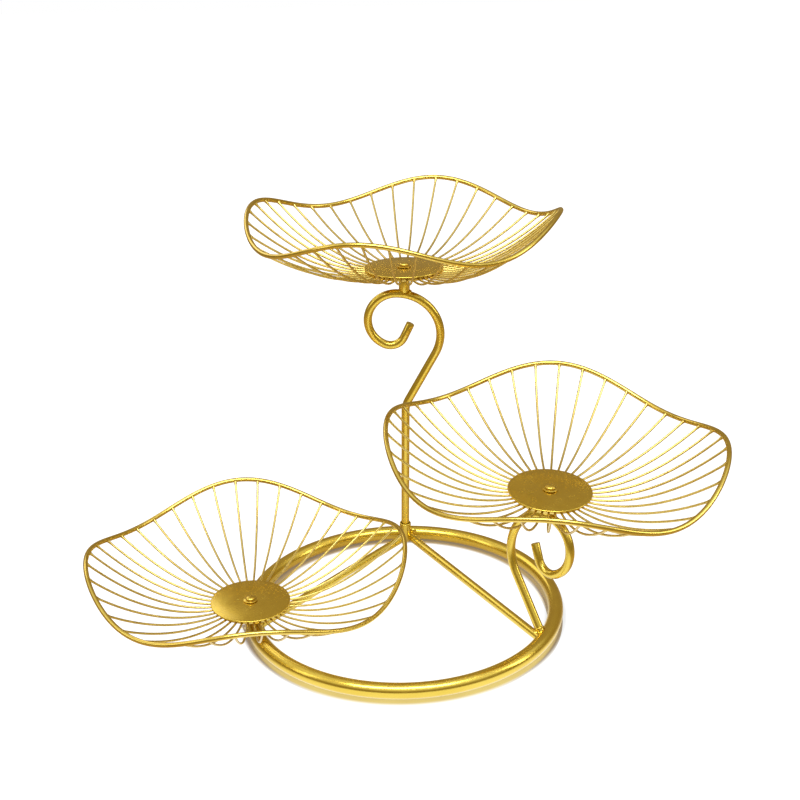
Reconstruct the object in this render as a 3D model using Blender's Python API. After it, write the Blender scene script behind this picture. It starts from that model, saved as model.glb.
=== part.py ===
"""Three-tier fruit basket: a ring base, two scroll stems and three wavy wire bowls.

The base is a round tube bent to a ring, with two straight bars in a V across it and a socket
welded to its inner side. One rod plugs into the socket and another is welded to the ring at
the front. Each rises, loops over in a scroll and carries a bowl on a short boss. The third
bowl sits on a boss on the ring itself.
Each bowl is a thick rim wire with four waves, a spray of thin radial wires that are welded
into a hub ring, and a centre plate. It turns on one central screw.

Metres, +Z up. The stand is on z = 0 and the whole basket's box is centred over the origin.
"""

import math

import bmesh
import bpy
from mathutils import Euler, Matrix, Vector

MM = 0.001

# Fits
GAP = 0.3 * MM  # clearance between pieces that touch
WELD_OVERRUN = 2.0 * MM  # how far a cutter or a piece runs past what it is cut by

# Base ring
RING_RADIUS = 133.3 * MM  # to the tube's centre line
RING_TUBE_RADIUS = 6.6 * MM
RING_FLAT_DEPTH = 0.4 * MM  # worn flat that the ring stands on
RING_STEPS = 60
RING_SIDES = 12

# Socket and bars
ROD_RADIUS = 3.75 * MM  # both stems
SOCKET_WALL = 1.3 * MM
SOCKET_CHAMFER = 0.6 * MM  # round the outside of its mouth
SOCKET_FLOOR = 1.6 * MM
SOCKET_HEIGHT = 19.5 * MM
SOCKET_LIFT = 5.0 * MM  # its lower end above the table
BAR_RADIUS = 3.75 * MM
BAR_HEIGHT = 8.0 * MM  # their centre lines above the table
SOCKET_STEPS = 16

# Bowls, measured from the wires' centre line at the hub
BOWL_RADIUS = 132.0 * MM  # mean radius of the rim's centre line
BOWL_DEPTH = 44.0 * MM  # from the mean rim down to the hub
WAVES = 4
WAVE_HEIGHT = 10.4 * MM  # the rim goes this far above and below its mean
WAVE_REACH = 0.6 * MM  # a crest also stands this much further out
BELLY_POWER = 1.95  # 2 is a round bowl, more is a flatter bottom with steeper sides
RIM_RADIUS = 2.0 * MM
RIM_STEPS_PER_WAVE = 16
WIRES_PER_WAVE = 10
WIRE_RADIUS = 0.95 * MM
WIRE_POINT_SHARES = (0.0, 0.12, 0.36, 0.58, 0.79, 1.0)  # where a wire's bends are

# Hub, plate and screw
HUB_INNER = 24.0 * MM
HUB_OUTER = 31.0 * MM
HUB_HEIGHT = 3.0 * MM
PLATE_RADIUS = 34.0 * MM
PLATE_THICKNESS = 1.4 * MM
PLATE_EDGE = 0.4 * MM  # chamfer round its upper edge
WASHER_RADIUS = 6.0 * MM
WASHER_THICKNESS = 1.0 * MM
SCREW_SHANK_RADIUS = 1.7 * MM
SCREW_HEAD_RADIUS = 4.2 * MM
SCREW_HEAD_HEIGHT = 2.4 * MM
SCREW_DOME_SHARE = 0.45  # of the head's height, where its side ends and its dome begins
SCREW_GRIP = 5.4 * MM  # length in the boss
PLATE_STEPS = 32
SCREW_STEPS = 12

# Bosses
BOSS_RADIUS = 4.8 * MM
TOP_BOSS_STAND = 17.2 * MM  # from the rod's upper side to the wires' centre line
MIDDLE_BOSS_STAND = 18.35 * MM
BOSS_WRAP = 1.4 * MM  # how far it reaches below the rod's centre line
LOW_BOSS_WRAP = 4.0 * MM  # how far the low one reaches down the ring's side
BOSS_STEPS = 16

# Scroll, the same bend on both stems
SCROLL_RADIUS = 39.0 * MM  # rising side of the loop
SCROLL_MIDDLE_RADIUS = 25.0 * MM
SCROLL_END_RADIUS = 13.0 * MM
SCROLL_MIDDLE_TURN = 155.0  # degrees that each part of the loop turns through
SCROLL_END_TURN = 91.0
SCROLL_TAIL = 14.0 * MM  # the rod's end stays straight
SCROLL_STEP = 12.0  # degrees between points
NECK_RADIUS = 24.0 * MM  # bend between the top stem's post and its slanting run

# Places. Each hub, on its bowl's axis, is given from the tube of the base ring that carries it.
TOP_BOWL_AZIMUTH = 86.49  # degrees round the ring's centre, from +X
TOP_BOWL_INSET = 32.57 * MM  # inside the tube's centre line
TOP_BOWL_HEIGHT = 278.25 * MM  # above the table
TOP_BOWL_TILT = (-1.0, 0.1)  # degrees about X and Y
TOP_BOWL_TURN = 76.3  # a crest's azimuth in degrees
TOP_WIRE_TURN = 0.0  # degrees from the crest to the nearest wire
TOP_SCROLL_TURN = 0.0  # the scroll's plane, from +X
TOP_SCROLL_DIP = 1.2  # degrees that the scroll's plane runs down in that direction
TOP_SCROLL_OFFSET = 7.1 * MM  # the boss stands this far beyond the loop's centre
TOP_NECK_DROP = 107.4 * MM  # the neck bend is this far below the rod's top
BACK_FOOT_AZIMUTH = 89.0
MIDDLE_BOWL_AZIMUTH = -22.70
MIDDLE_BOWL_INSET = 3.52 * MM
MIDDLE_BOWL_HEIGHT = 136.22 * MM
MIDDLE_BOWL_TILT = (4.3, 2.6)
MIDDLE_BOWL_TURN = 83.5
MIDDLE_WIRE_TURN = -1.0
MIDDLE_SCROLL_TURN = -49.0
MIDDLE_SCROLL_DIP = 1.3
MIDDLE_SCROLL_OFFSET = 2.5 * MM
MIDDLE_FOOT_AZIMUTH = -26.3
MIDDLE_FOOT_INSET = 3.3 * MM  # its axis meets the ring this far inside the tube's centre line
LOW_BOWL_AZIMUTH = 191.02  # straight over the tube
LOW_BOWL_HEIGHT = 23.8 * MM
LOW_BOWL_TILT = (0.6, 1.2)
LOW_BOWL_TURN = 8.9
LOW_WIRE_TURN = 2.2
LEFT_BAR_AZIMUTH = 197.5  # where the left bar meets the ring
RIGHT_BAR_AZIMUTHS = (90.0, -30.0)  # where the right bar's two ends meet it

# Worked out from the sizes above
RING_HEIGHT = RING_TUBE_RADIUS - RING_FLAT_DEPTH
RING_INNER = RING_RADIUS - RING_TUBE_RADIUS
SOCKET_BORE = ROD_RADIUS + GAP
SOCKET_RADIUS = SOCKET_BORE + SOCKET_WALL
PLATE_BOTTOM = HUB_HEIGHT / 2 + GAP
PLATE_TOP = PLATE_BOTTOM + PLATE_THICKNESS
WASHER_BOTTOM = PLATE_TOP + GAP
WASHER_TOP = WASHER_BOTTOM + WASHER_THICKNESS
HEAD_BOTTOM = WASHER_TOP + GAP
BOSS_TOP = PLATE_BOTTOM - GAP
SCREW_HOLE = SCREW_SHANK_RADIUS + GAP
TOP_ROD_DROP = ROD_RADIUS + TOP_BOSS_STAND  # from the hub down to the rod's centre line
MIDDLE_ROD_DROP = ROD_RADIUS + MIDDLE_BOSS_STAND


def clear_scene():
    for obj in list(bpy.data.objects):
        bpy.data.objects.remove(obj, do_unlink=True)


def metal(name, colour, roughness):
    """A plain gold finish. Every piece has the same plating, brushed by hand to unlike degrees."""
    finish = bpy.data.materials.new(name)
    finish.use_nodes = True
    shader = finish.node_tree.nodes["Principled BSDF"]
    shader.inputs["Base Color"].default_value = (*colour, 1.0)
    shader.inputs["Metallic"].default_value = 1.0
    shader.inputs["Roughness"].default_value = roughness
    return finish


def empty(name, parent=None, matrix=None):
    obj = bpy.data.objects.new(name, None)
    bpy.context.collection.objects.link(obj)
    obj.parent = parent
    if matrix is not None:
        obj.matrix_local = matrix
    return obj


def piece(name, mesh, finish, parent, matrix=None):
    obj = bpy.data.objects.new(name, mesh)
    bpy.context.collection.objects.link(obj)
    obj.parent = parent
    if matrix is not None:
        obj.matrix_local = matrix
    mesh.materials.clear()
    mesh.materials.append(finish)
    mesh.shade_smooth()
    mesh.set_sharp_from_angle(angle=math.radians(40))
    return obj


def guide(obj):
    """Hides a cutter: it shapes its neighbours and is no piece of the basket."""
    obj.hide_render = True
    obj.display_type = "WIRE"
    return obj


def combine(obj, other, operation):
    modifier = obj.modifiers.new(operation.lower(), "BOOLEAN")
    modifier.operation = operation
    modifier.solver = "EXACT"
    modifier.object = other


def turned(name, profile, steps, closed=False, start=0.0):
    """A mesh turned round Z from (radius, height) points. A closed profile makes a ring."""
    bm = bmesh.new()
    verts = [bm.verts.new((r * math.cos(start), r * math.sin(start), z)) for r, z in profile]
    pairs = list(zip(verts, verts[1:]))
    if closed:
        pairs.append((verts[-1], verts[0]))
    edges = [bm.edges.new(pair) for pair in pairs]
    bmesh.ops.spin(
        bm, geom=verts + edges, cent=(0, 0, 0), axis=(0, 0, 1), angle=math.tau, steps=steps
    )
    bmesh.ops.remove_doubles(bm, verts=bm.verts, dist=GAP / 100)
    bmesh.ops.recalc_face_normals(bm, faces=bm.faces)
    mesh = bpy.data.meshes.new(name)
    bm.to_mesh(mesh)
    bm.free()
    return mesh


def rods(name, paths, radius, resolution, cyclic=False):
    """A mesh of round rods along the paths, from one bevelled curve with filled ends."""
    curve = bpy.data.curves.new(name, "CURVE")
    curve.dimensions = "3D"
    curve.bevel_depth = radius
    curve.bevel_resolution = resolution
    curve.use_fill_caps = True
    for path in paths:
        spline = curve.splines.new("POLY")
        spline.points.add(len(path) - 1)
        spline.use_cyclic_u = cyclic
        for point, place in zip(spline.points, path):
            point.co = (*place, 1.0)
    drawn = bpy.data.objects.new(name, curve)
    bpy.context.collection.objects.link(drawn)
    bpy.context.view_layer.update()
    mesh = bpy.data.meshes.new_from_object(drawn.evaluated_get(bpy.context.evaluated_depsgraph_get()))
    bpy.data.objects.remove(drawn, do_unlink=True)
    bm = bmesh.new()
    bm.from_mesh(mesh)
    bmesh.ops.remove_doubles(bm, verts=bm.verts, dist=GAP / 100)
    bmesh.ops.recalc_face_normals(bm, faces=bm.faces)
    bm.to_mesh(mesh)
    bm.free()
    return mesh


def circle_section(centre, radius, sides, lowest):
    """(radius, height) points of a tube's section, cut flat at the height lowest."""
    points = []
    for i in range(sides):
        angle = math.tau * (i + 0.5) / sides
        height = centre[1] + radius * math.sin(angle)
        points.append((centre[0] + radius * math.cos(angle), max(height, lowest)))
    return points


def axis_matrix(start, direction, across=Vector((0, 0, 1))):
    """A frame at start whose Z runs along direction, which isn't upright."""
    z = direction.normalized()
    x = across.cross(z).normalized()
    y = z.cross(x)
    return Matrix.Translation(start) @ Matrix((x, y, z)).transposed().to_4x4()


# Base

def ring_mesh(name, extra=0.0):
    section = circle_section(
        (RING_RADIUS, RING_HEIGHT), RING_TUBE_RADIUS + extra, RING_SIDES, -extra
    )
    return turned(name, section, RING_STEPS, closed=True)


def back_foot():
    """Where the back post's axis crosses the ring's centre height."""
    azimuth = math.radians(BACK_FOOT_AZIMUTH)
    reach = RING_INNER - SOCKET_RADIUS - GAP
    return Vector((reach * math.cos(azimuth), reach * math.sin(azimuth), RING_HEIGHT))


def ring_point(azimuth, height, inset=0.0):
    """A point over the ring's centre line, or that far inside it."""
    azimuth = math.radians(azimuth)
    reach = RING_RADIUS - inset
    return Vector((reach * math.cos(azimuth), reach * math.sin(azimuth), height))


def socket_mesh(name):
    """The back socket from z = 0 up, with a blind bore and a chamfered mouth."""
    profile = [
        (0, 0),
        (SOCKET_RADIUS, 0),
        (SOCKET_RADIUS, SOCKET_HEIGHT - SOCKET_CHAMFER),
        (SOCKET_RADIUS - SOCKET_CHAMFER, SOCKET_HEIGHT),
        (SOCKET_BORE, SOCKET_HEIGHT),
        (SOCKET_BORE, SOCKET_FLOOR),
        (0, SOCKET_FLOOR),
    ]
    return turned(name, profile, SOCKET_STEPS)


def bar(name, start, end, finish, parent, cutters):
    run = end - start
    mesh = rods(name, [[(0, 0, 0), (0, 0, run.length)]], BAR_RADIUS, 4)
    obj = piece(name, mesh, finish, parent, axis_matrix(start, run))
    for cutter in cutters:
        combine(obj, cutter, "DIFFERENCE")
    return obj


# Stems

def boss_foot(hub, tilt, drop):
    """Where a boss's axis meets the centre line of its stem."""
    return bowl_frame(hub, tilt, 0.0) @ Vector((0, 0, -drop))


def stem_frame(foot, top, turn, dip):
    """A frame at the foot: X lies along the scroll's plane, and the plane holds the top."""
    x = Euler((0, math.radians(dip), math.radians(turn))).to_matrix() @ Vector((1, 0, 0))
    rise = top - foot
    z = (rise - x * rise.dot(x)).normalized()
    return Matrix.Translation(foot) @ Matrix((x, z.cross(x), z)).transposed().to_4x4()


def arc(centre, radius, start, turn):
    """Points on an arc in the scroll's plane, (across, up), angles in degrees."""
    count = max(2, math.ceil(turn / SCROLL_STEP))
    angles = [math.radians(start + turn * i / count) for i in range(count + 1)]
    return [
        Vector((centre.x + radius * math.cos(a), centre.y + radius * math.sin(a))) for a in angles
    ]


def tangent_point(start, centre):
    """Where a straight run from start touches the rising side of the loop."""
    away = start - centre
    swing = math.acos(SCROLL_RADIUS / away.length)
    angle = math.atan2(away.y, away.x) + swing
    return centre + SCROLL_RADIUS * Vector((math.cos(angle), math.sin(angle))), angle


def loop_points(start, boss, offset):
    """The slanting run and the loop: it turns tighter in three steps and ends in a straight."""
    up = math.sqrt(SCROLL_RADIUS**2 - offset**2)
    centre = Vector((boss.x - offset, boss.y - up))
    touch, angle = tangent_point(start, centre)
    first = arc(centre, SCROLL_RADIUS, math.degrees(angle), 90.0 - math.degrees(angle))
    centre = centre + Vector((0, SCROLL_RADIUS - SCROLL_MIDDLE_RADIUS))
    second = arc(centre, SCROLL_MIDDLE_RADIUS, 90.0, SCROLL_MIDDLE_TURN)
    turned_to = math.radians(90.0 + SCROLL_MIDDLE_TURN)
    inward = Vector((math.cos(turned_to), math.sin(turned_to)))
    centre = centre + inward * (SCROLL_MIDDLE_RADIUS - SCROLL_END_RADIUS)
    third = arc(centre, SCROLL_END_RADIUS, math.degrees(turned_to), SCROLL_END_TURN)
    heading = turned_to + math.radians(SCROLL_END_TURN + 90.0)
    tail = third[-1] + SCROLL_TAIL * Vector((math.cos(heading), math.sin(heading)))
    return [*first, *second[1:], *third[1:], tail]


def neck_points(corner, towards):
    """The bend from the upright post into the slanting run."""
    slope = math.atan2(towards.y - corner.y, towards.x - corner.x)
    bend = math.pi / 2 - slope
    reach = NECK_RADIUS * math.tan(bend / 2)
    begin = corner - Vector((0, reach))
    centre = begin + Vector((NECK_RADIUS, 0))
    return [
        centre + NECK_RADIUS * Vector((-math.cos(bend * i / 3), math.sin(bend * i / 3)))
        for i in range(4)
    ]


def top_stem_path(boss):
    """From the socket's floor, up the post, round the neck and over the loop, (across, up)."""
    corner = Vector((0, boss.y - TOP_NECK_DROP))
    loop = loop_points(corner, boss, TOP_SCROLL_OFFSET)
    floor = SOCKET_LIFT + SOCKET_FLOOR + GAP - RING_HEIGHT
    return [Vector((0, floor)), *neck_points(corner, loop[0]), *loop]


def middle_stem_path(boss):
    """From inside the ring's tube straight into the loop. It is drawn unmirrored."""
    return [Vector((0, 0)), *loop_points(Vector((0, 0)), boss, MIDDLE_SCROLL_OFFSET)]


def boss_mesh(name, bottom):
    """A blind threaded boss, drawn smooth. Its lower end wraps what it is welded to."""
    profile = [
        (0, bottom),
        (BOSS_RADIUS, bottom),
        (BOSS_RADIUS, BOSS_TOP),
        (SCREW_HOLE, BOSS_TOP),
        (SCREW_HOLE, BOSS_TOP - SCREW_GRIP - GAP),
        (0, BOSS_TOP - SCREW_GRIP - GAP),
    ]
    return turned(name, profile, BOSS_STEPS)


# Bowls

def wave(angle):
    return math.cos(WAVES * angle)


def rim_radius(angle):
    return BOWL_RADIUS + WAVE_REACH * wave(angle)


def rim_height(angle):
    return BOWL_DEPTH + WAVE_HEIGHT * wave(angle)


def wall_height(angle, radius):
    """Height of the bowl's wires: flat under the plate and steepest at the rim."""
    share = max(0.0, radius - HUB_OUTER) / (rim_radius(angle) - HUB_OUTER)
    return rim_height(angle) * share**BELLY_POWER


def rim_path():
    count = WAVES * RIM_STEPS_PER_WAVE
    path = []
    for i in range(count):
        angle = math.tau * i / count
        out = rim_radius(angle)
        path.append((out * math.cos(angle), out * math.sin(angle), rim_height(angle)))
    return path


def wire_path(angle):
    """One radial wire, from inside the hub ring straight at the underside of the rim."""
    rim = Vector((rim_radius(angle), rim_height(angle)))
    start = (HUB_INNER + HUB_OUTER) / 2
    outs = [start + (rim.x - start) * share for share in WIRE_POINT_SHARES[:-1]]
    path = [Vector((out, wall_height(angle, out))) for out in outs]
    rim_slope = WAVES * WAVE_HEIGHT / BOWL_RADIUS
    short = RIM_RADIUS + GAP + WIRE_RADIUS * rim_slope
    path.append(rim - (rim - path[-1]).normalized() * short)
    return [(p.x * math.cos(angle), p.x * math.sin(angle), p.y) for p in path]


def wires(name, finish, parent, turn):
    """The radial wires, welded into the hub ring: one solid."""
    count = WAVES * WIRES_PER_WAVE
    first = math.radians(turn)
    half = HUB_HEIGHT / 2
    section = [(HUB_INNER, -half), (HUB_OUTER, -half), (HUB_OUTER, half), (HUB_INNER, half)]
    hub = turned(name, section, count, closed=True, start=first + math.pi / count)
    paths = [wire_path(first + math.tau * i / count) for i in range(count)]
    spray = rods(name + "_spray", paths, WIRE_RADIUS, 0)
    obj = piece(name, hub, finish, parent)
    combine(obj, guide(piece(name + "_spray", spray, finish, parent)), "UNION")
    return obj


def plate_mesh(name):
    profile = [
        (SCREW_HOLE, PLATE_BOTTOM),
        (PLATE_RADIUS, PLATE_BOTTOM),
        (PLATE_RADIUS, PLATE_TOP - PLATE_EDGE),
        (PLATE_RADIUS - PLATE_EDGE, PLATE_TOP),
        (SCREW_HOLE, PLATE_TOP),
    ]
    return turned(name, profile, PLATE_STEPS, closed=True)


def washer_mesh(name):
    profile = [
        (SCREW_HOLE, WASHER_BOTTOM),
        (WASHER_RADIUS, WASHER_BOTTOM),
        (WASHER_RADIUS, WASHER_TOP),
        (SCREW_HOLE, WASHER_TOP),
    ]
    return turned(name, profile, BOSS_STEPS, closed=True)


def screw_mesh(name):
    side = HEAD_BOTTOM + SCREW_HEAD_HEIGHT * SCREW_DOME_SHARE
    shoulder = HEAD_BOTTOM + SCREW_HEAD_HEIGHT * (1 + SCREW_DOME_SHARE) / 2
    profile = [
        (0, BOSS_TOP - SCREW_GRIP),
        (SCREW_SHANK_RADIUS, BOSS_TOP - SCREW_GRIP),
        (SCREW_SHANK_RADIUS, HEAD_BOTTOM),
        (SCREW_HEAD_RADIUS, HEAD_BOTTOM),
        (SCREW_HEAD_RADIUS, side),
        (SCREW_HEAD_RADIUS * math.cos(math.pi / 6), shoulder),
        (0, HEAD_BOTTOM + SCREW_HEAD_HEIGHT),
    ]
    return turned(name, profile, SCREW_STEPS)


def bowl_frame(hub, tilt, turn):
    lean = Euler((math.radians(tilt[0]), math.radians(tilt[1]), 0)).to_matrix().to_4x4()
    return Matrix.Translation(hub) @ lean @ Matrix.Rotation(math.radians(turn), 4, "Z")


def bowl(prefix, frame, wire_turn, finish, stand):
    """One bowl with its screw and washer, round the axis that it turns on."""
    axis = empty(prefix + "_axis", stand, frame)
    rim = rods(prefix + "_rim", [rim_path()], RIM_RADIUS, 1, cyclic=True)
    piece(prefix + "_rim", rim, finish["rim"], axis)
    wires(prefix + "_wires", finish["wire"], axis, wire_turn)
    piece(prefix + "_plate", plate_mesh(prefix + "_plate"), finish["plate"], axis)
    piece(prefix + "_washer", washer_mesh(prefix + "_washer"), finish["screw"], axis)
    piece(prefix + "_screw", screw_mesh(prefix + "_screw"), finish["screw"], axis)
    return axis


def boss(name, axis, finish, cutter, bottom):
    obj = piece(name, boss_mesh(name, bottom), finish, axis)
    combine(obj, cutter, "DIFFERENCE")
    return obj


def build():
    clear_scene()
    finish = {
        "ring": metal("gold_ring", (0.62, 0.40, 0.08), 0.24),
        "rod": metal("gold_rod", (0.64, 0.42, 0.09), 0.26),
        "rim": metal("gold_rim", (0.66, 0.44, 0.10), 0.28),
        "wire": metal("gold_wire", (0.68, 0.46, 0.12), 0.30),
        "plate": metal("gold_plate", (0.64, 0.42, 0.09), 0.22),
        "screw": metal("gold_screw", (0.60, 0.40, 0.10), 0.30),
    }
    stand = empty("stand_origin")

    # Base ring, with a cutter a gap larger for what is welded to it
    piece("base_ring", ring_mesh("base_ring"), finish["ring"], stand)
    ring_cutter = guide(piece("ring_cutter", ring_mesh("ring_cutter", GAP), finish["ring"], stand))

    # Bowls
    top_hub = ring_point(TOP_BOWL_AZIMUTH, TOP_BOWL_HEIGHT, TOP_BOWL_INSET)
    middle_hub = ring_point(MIDDLE_BOWL_AZIMUTH, MIDDLE_BOWL_HEIGHT, MIDDLE_BOWL_INSET)
    low_hub = ring_point(LOW_BOWL_AZIMUTH, LOW_BOWL_HEIGHT)
    frame = bowl_frame(top_hub, TOP_BOWL_TILT, TOP_BOWL_TURN)
    top_axis = bowl("top_bowl", frame, TOP_WIRE_TURN, finish, stand)
    frame = bowl_frame(middle_hub, MIDDLE_BOWL_TILT, MIDDLE_BOWL_TURN)
    middle_axis = bowl("middle_bowl", frame, MIDDLE_WIRE_TURN, finish, stand)
    frame = bowl_frame(low_hub, LOW_BOWL_TILT, LOW_BOWL_TURN)
    low_axis = bowl("low_bowl", frame, LOW_WIRE_TURN, finish, stand)
    ring_top = RING_HEIGHT + RING_TUBE_RADIUS
    boss("low_boss", low_axis, finish["rod"], ring_cutter, ring_top - LOW_BOSS_WRAP - LOW_BOWL_HEIGHT)

    # Top stem in the back socket
    foot = back_foot()
    top = boss_foot(top_hub, TOP_BOWL_TILT, TOP_ROD_DROP)
    frame = stem_frame(foot, top, TOP_SCROLL_TURN, TOP_SCROLL_DIP)
    top = frame.inverted() @ top
    path = [(p.x, 0, p.y) for p in top_stem_path(Vector((top.x, top.z)))]
    piece("top_stem", rods("top_stem", [path], ROD_RADIUS, 2), finish["rod"], stand, frame)
    cutter = rods("top_rod_cutter", [path], ROD_RADIUS + GAP, 2)
    cutter = guide(piece("top_rod_cutter", cutter, finish["rod"], stand, frame))
    boss("top_boss", top_axis, finish["rod"], cutter, -TOP_ROD_DROP - BOSS_WRAP)
    socket_frame = frame @ Matrix.Translation((0, 0, SOCKET_LIFT - RING_HEIGHT))
    piece("back_socket", socket_mesh("back_socket"), finish["rod"], stand, socket_frame)
    sleeve = [[(0, 0, -WELD_OVERRUN), (0, 0, SOCKET_HEIGHT)]]
    sleeve = rods("socket_cutter", sleeve, SOCKET_RADIUS + GAP, 4)
    sleeve = guide(piece("socket_cutter", sleeve, finish["rod"], stand, socket_frame))
    top_slide = frame.to_3x3() @ Vector((0, 0, 1))

    # Middle stem, welded to the ring. Its scroll is the mirror image of the top one.
    foot = ring_point(MIDDLE_FOOT_AZIMUTH, RING_HEIGHT, MIDDLE_FOOT_INSET)
    top = boss_foot(middle_hub, MIDDLE_BOWL_TILT, MIDDLE_ROD_DROP)
    frame = stem_frame(foot, top, MIDDLE_SCROLL_TURN, MIDDLE_SCROLL_DIP)
    top = frame.inverted() @ top
    path = [(-p.x, 0, p.y) for p in middle_stem_path(Vector((-top.x, top.z)))]
    rod = rods("middle_stem", [path], ROD_RADIUS, 2)
    rod = piece("middle_stem", rod, finish["rod"], stand, frame)
    combine(rod, ring_cutter, "DIFFERENCE")
    cutter = rods("middle_rod_cutter", [path], ROD_RADIUS + GAP, 2)
    cutter = guide(piece("middle_rod_cutter", cutter, finish["rod"], stand, frame))
    boss("middle_boss", middle_axis, finish["rod"], cutter, -MIDDLE_ROD_DROP - BOSS_WRAP)

    # Bars: one runs past the back socket to the middle stem's foot, one to under the low bowl
    back = back_foot()
    back = Vector((back.x, back.y, BAR_HEIGHT))
    ends = [ring_point(azimuth, BAR_HEIGHT) for azimuth in RIGHT_BAR_AZIMUTHS]
    bar("right_bar", *ends, finish["rod"], stand, [sleeve, cutter, ring_cutter])
    end = ring_point(LEFT_BAR_AZIMUTH, BAR_HEIGHT)
    bar("left_bar", back, end, finish["rod"], stand, [sleeve, ring_cutter])

    centre_over_origin(stand)
    for name, axis in (("top", top_axis), ("middle", middle_axis), ("low", low_axis)):
        place = axis.matrix_world
        print(name, "bowl axis", [round(v, 5) for v in place.translation],
              [round(v, 5) for v in place.to_3x3() @ Vector((0, 0, 1))])
    print("top stem slide", [round(v, 5) for v in top_slide])
    print("ring centre", [round(v, 5) for v in stand.matrix_world.translation])


def centre_over_origin(stand):
    """Moves the stand's origin so that the whole basket's box is centred over the origin."""
    bpy.context.view_layer.update()
    corners = [
        obj.matrix_world @ vert.co
        for obj in bpy.data.objects
        if obj.type == "MESH" and not obj.hide_render
        for vert in obj.data.vertices
    ]
    for i in (0, 1):
        low = min(corner[i] for corner in corners)
        high = max(corner[i] for corner in corners)
        stand.location[i] = -(low + high) / 2
    bpy.context.view_layer.update()


build()
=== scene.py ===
# %% [markdown]
# # A three-tier wire basket, plated in gold
# The basket is a closed ring of tube that lies on the table, two rods that rise from it and
# end in scrolls, and three wavy bowls of wire. The solids of every piece are already made:
# this lesson loads them, models each piece again with the softer edges, the round wires and
# the welds that a close look shows, and gives it its plating.

# %% Load the solids
import math

import bpy
from mathutils import Euler, Matrix, Vector


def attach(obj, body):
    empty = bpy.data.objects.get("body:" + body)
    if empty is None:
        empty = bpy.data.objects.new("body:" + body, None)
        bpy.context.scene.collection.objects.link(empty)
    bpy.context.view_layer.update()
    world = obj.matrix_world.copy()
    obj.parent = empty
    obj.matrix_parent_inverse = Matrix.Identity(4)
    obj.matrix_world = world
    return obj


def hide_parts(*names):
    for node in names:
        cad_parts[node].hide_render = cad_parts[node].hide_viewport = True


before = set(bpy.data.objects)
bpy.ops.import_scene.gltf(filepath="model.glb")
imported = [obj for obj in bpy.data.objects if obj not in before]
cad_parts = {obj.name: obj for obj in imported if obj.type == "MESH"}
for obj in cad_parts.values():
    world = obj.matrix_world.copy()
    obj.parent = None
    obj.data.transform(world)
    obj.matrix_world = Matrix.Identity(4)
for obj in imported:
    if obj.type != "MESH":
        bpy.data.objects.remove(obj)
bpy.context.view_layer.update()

# %% [markdown]
# ## The ring as a measure
# A wire basket is drawn from centre lines: each piece is a line through space with a wire's
# thickness round it, so most sizes are radii of bends and of wires. The ring's centre is the
# point that all other places are measured from, by an angle round it, a reach and a height.

# %% Sizes of the ring
MM = 0.001
RING_CENTRE = Vector((3.75, -23.73, 0.0)) * MM
RING_RADIUS = 133.3 * MM
RING_TUBE = 6.6 * MM
RING_HEIGHT = 6.2 * MM
RING_INNER = RING_RADIUS - RING_TUBE


def ring_point(azimuth, reach, height):
    angle = math.radians(azimuth)
    return RING_CENTRE + Vector((reach * math.cos(angle), reach * math.sin(angle), height))


print("ring", round(2000 * (RING_RADIUS + RING_TUBE)), "mm across outside")

# %% [markdown]
# ## Where each bowl is
# A bowl is easiest to model at the origin, with its hub on the Z axis, where its wires can be
# copied round. One matrix then carries it to its place. Stems that are bent and welded by
# hand never hold a bowl quite level, so each has a small tilt about X and about Y, and each
# has been turned on its screw to an angle of its own.

# %% Places of the bowls: hub, tilt about X and Y, a crest's azimuth, the first wire's turn
LOW_SEAT = 191.02
BOWLS = {
    "top": (ring_point(86.49, RING_RADIUS - 32.57 * MM, 278.25 * MM), (-1.0, 0.1), 76.3, 0.0),
    "middle": (ring_point(-22.70, RING_RADIUS - 3.52 * MM, 136.22 * MM), (4.3, 2.6), 83.5, -1.0),
    "low": (ring_point(LOW_SEAT, RING_RADIUS, 23.8 * MM), (0.6, 1.2), 8.9, 2.2),
}


def bowl_place(tier):
    """The matrix that carries a bowl from the origin to its place on the basket."""
    hub, tilt, turn, _ = BOWLS[tier]
    lean = Euler((math.radians(tilt[0]), math.radians(tilt[1]), 0)).to_matrix().to_4x4()
    turned = Matrix.Rotation(math.radians(turn), 4, "Z")
    return Matrix.Translation(hub) @ lean @ turned


for tier in BOWLS:
    print(tier, "bowl's hub", [round(v, 4) for v in bowl_place(tier).translation])

# %% [markdown]
# ## Helpers for working by hand
# Blender's operators act on what is selected. These few helpers keep the selection honest:
# one clears it, one picks vertices by their place, and one puts a finished piece where it
# belongs with its place inside its mesh.

# %% Selecting


def clear_selection():
    if bpy.context.mode != "OBJECT":
        bpy.ops.object.mode_set(mode="OBJECT")
    bpy.ops.object.select_all(action="DESELECT")


def take(piece):
    clear_selection()
    piece.select_set(True)
    bpy.context.view_layer.objects.active = piece


def pick(piece, test):
    """Selects, in edit mode, only the vertices whose place passes the test."""
    bpy.ops.mesh.select_all(action="DESELECT")
    bpy.ops.object.mode_set(mode="OBJECT")
    for vert in piece.data.vertices:
        vert.select = bool(test(vert.co))
    bpy.ops.object.mode_set(mode="EDIT")


print("selecting is ready")

# %% Placing, joining and smoothing


def settle(piece, place=None):
    """Moves the piece by the matrix and applies it, so that the object sits at the origin."""
    take(piece)
    if place is not None:
        piece.matrix_world = place @ piece.matrix_world
    bpy.ops.object.transform_apply(location=True, rotation=True, scale=True)
    return piece


def face_out(piece):
    """Merges doubles and turns all faces outwards."""
    take(piece)
    bpy.ops.object.mode_set(mode="EDIT")
    bpy.ops.mesh.select_all(action="SELECT")
    bpy.ops.mesh.remove_doubles(threshold=0.00001)
    bpy.ops.mesh.normals_make_consistent(inside=False)
    bpy.ops.object.mode_set(mode="OBJECT")


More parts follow.
